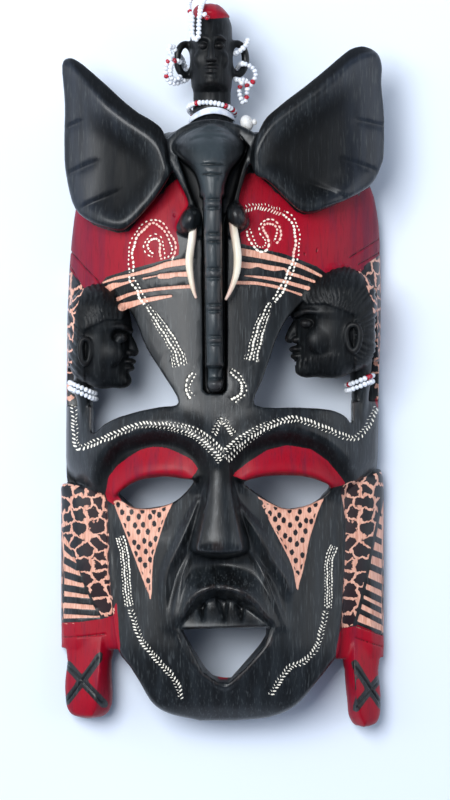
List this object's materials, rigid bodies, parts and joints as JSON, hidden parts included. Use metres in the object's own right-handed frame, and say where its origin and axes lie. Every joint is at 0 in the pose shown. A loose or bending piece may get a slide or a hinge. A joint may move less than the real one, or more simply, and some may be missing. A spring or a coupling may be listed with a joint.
{
  "type": "carved african mask",
  "caption": "Carved and painted wooden wall mask with elephant crest, side heads in openings, topped by a small bust with bead strings.",
  "frame": {"origin": "middle of the part in plan, on the plane of its back rim", "axes": "+X to the viewer's right, +Y towards the top of the mask, +Z out of its face"},
  "size_m": [0.2047, 0.4615, 0.087],
  "materials": {
    "carved_wood": "satin black stain with painted red and bare-wood patterns",
    "tusk": "smooth ivory-coloured, faintly pink at the edge",
    "seed_beads": "opaque gloss, white with some red",
    "large_bead": "satin white",
    "white_band": "satin white"
  },
  "bodies": {
    "root": {"mask_body": "carved_wood", "tusk_left": "tusk", "tusk_right": "tusk", "neck_beads": "seed_beads", "ear_beads_left": "seed_beads", "ear_beads_right": "seed_beads", "cap_beads": "seed_beads", "side_beads_left": "seed_beads", "side_beads_right": "seed_beads", "large_bead": "large_bead", "neck_band": "white_band"}
  },
  "joints": []
}
